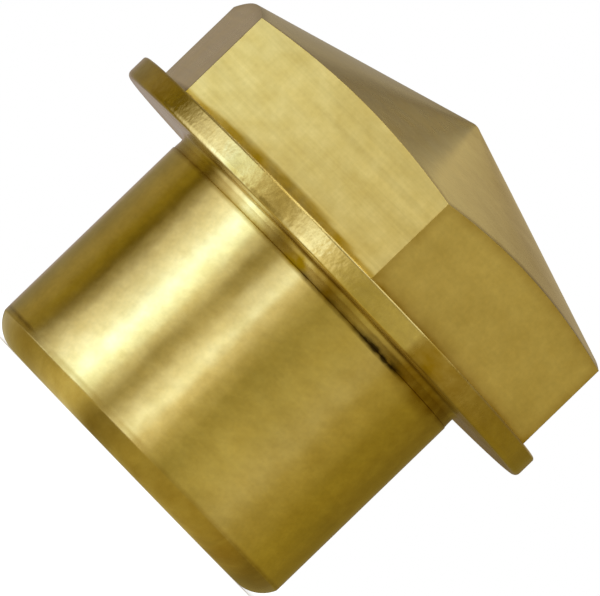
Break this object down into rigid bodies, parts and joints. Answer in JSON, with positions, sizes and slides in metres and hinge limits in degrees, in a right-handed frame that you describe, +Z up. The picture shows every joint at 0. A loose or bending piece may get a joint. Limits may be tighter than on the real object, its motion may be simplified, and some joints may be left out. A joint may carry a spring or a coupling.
{
  "type": "fork stem nut",
  "caption": "Brass fork stem nut: flanged hexagonal head with a turned conical top, and a bevelled shank with a blind threaded socket.",
  "frame": {"origin": "centre of the shank's open end face, on the nut's axis", "axes": "+Z up the axis from the open end to the point of the head; two corners of the hexagon lie on the Y axis, so the flats that face +X and -X are square to X"},
  "size_m": [0.0404, 0.0404, 0.0354],
  "materials": {
    "brass": "satin, as machined and polished"
  },
  "bodies": {
    "root": {"stem_nut": "brass"}
  },
  "joints": []
}
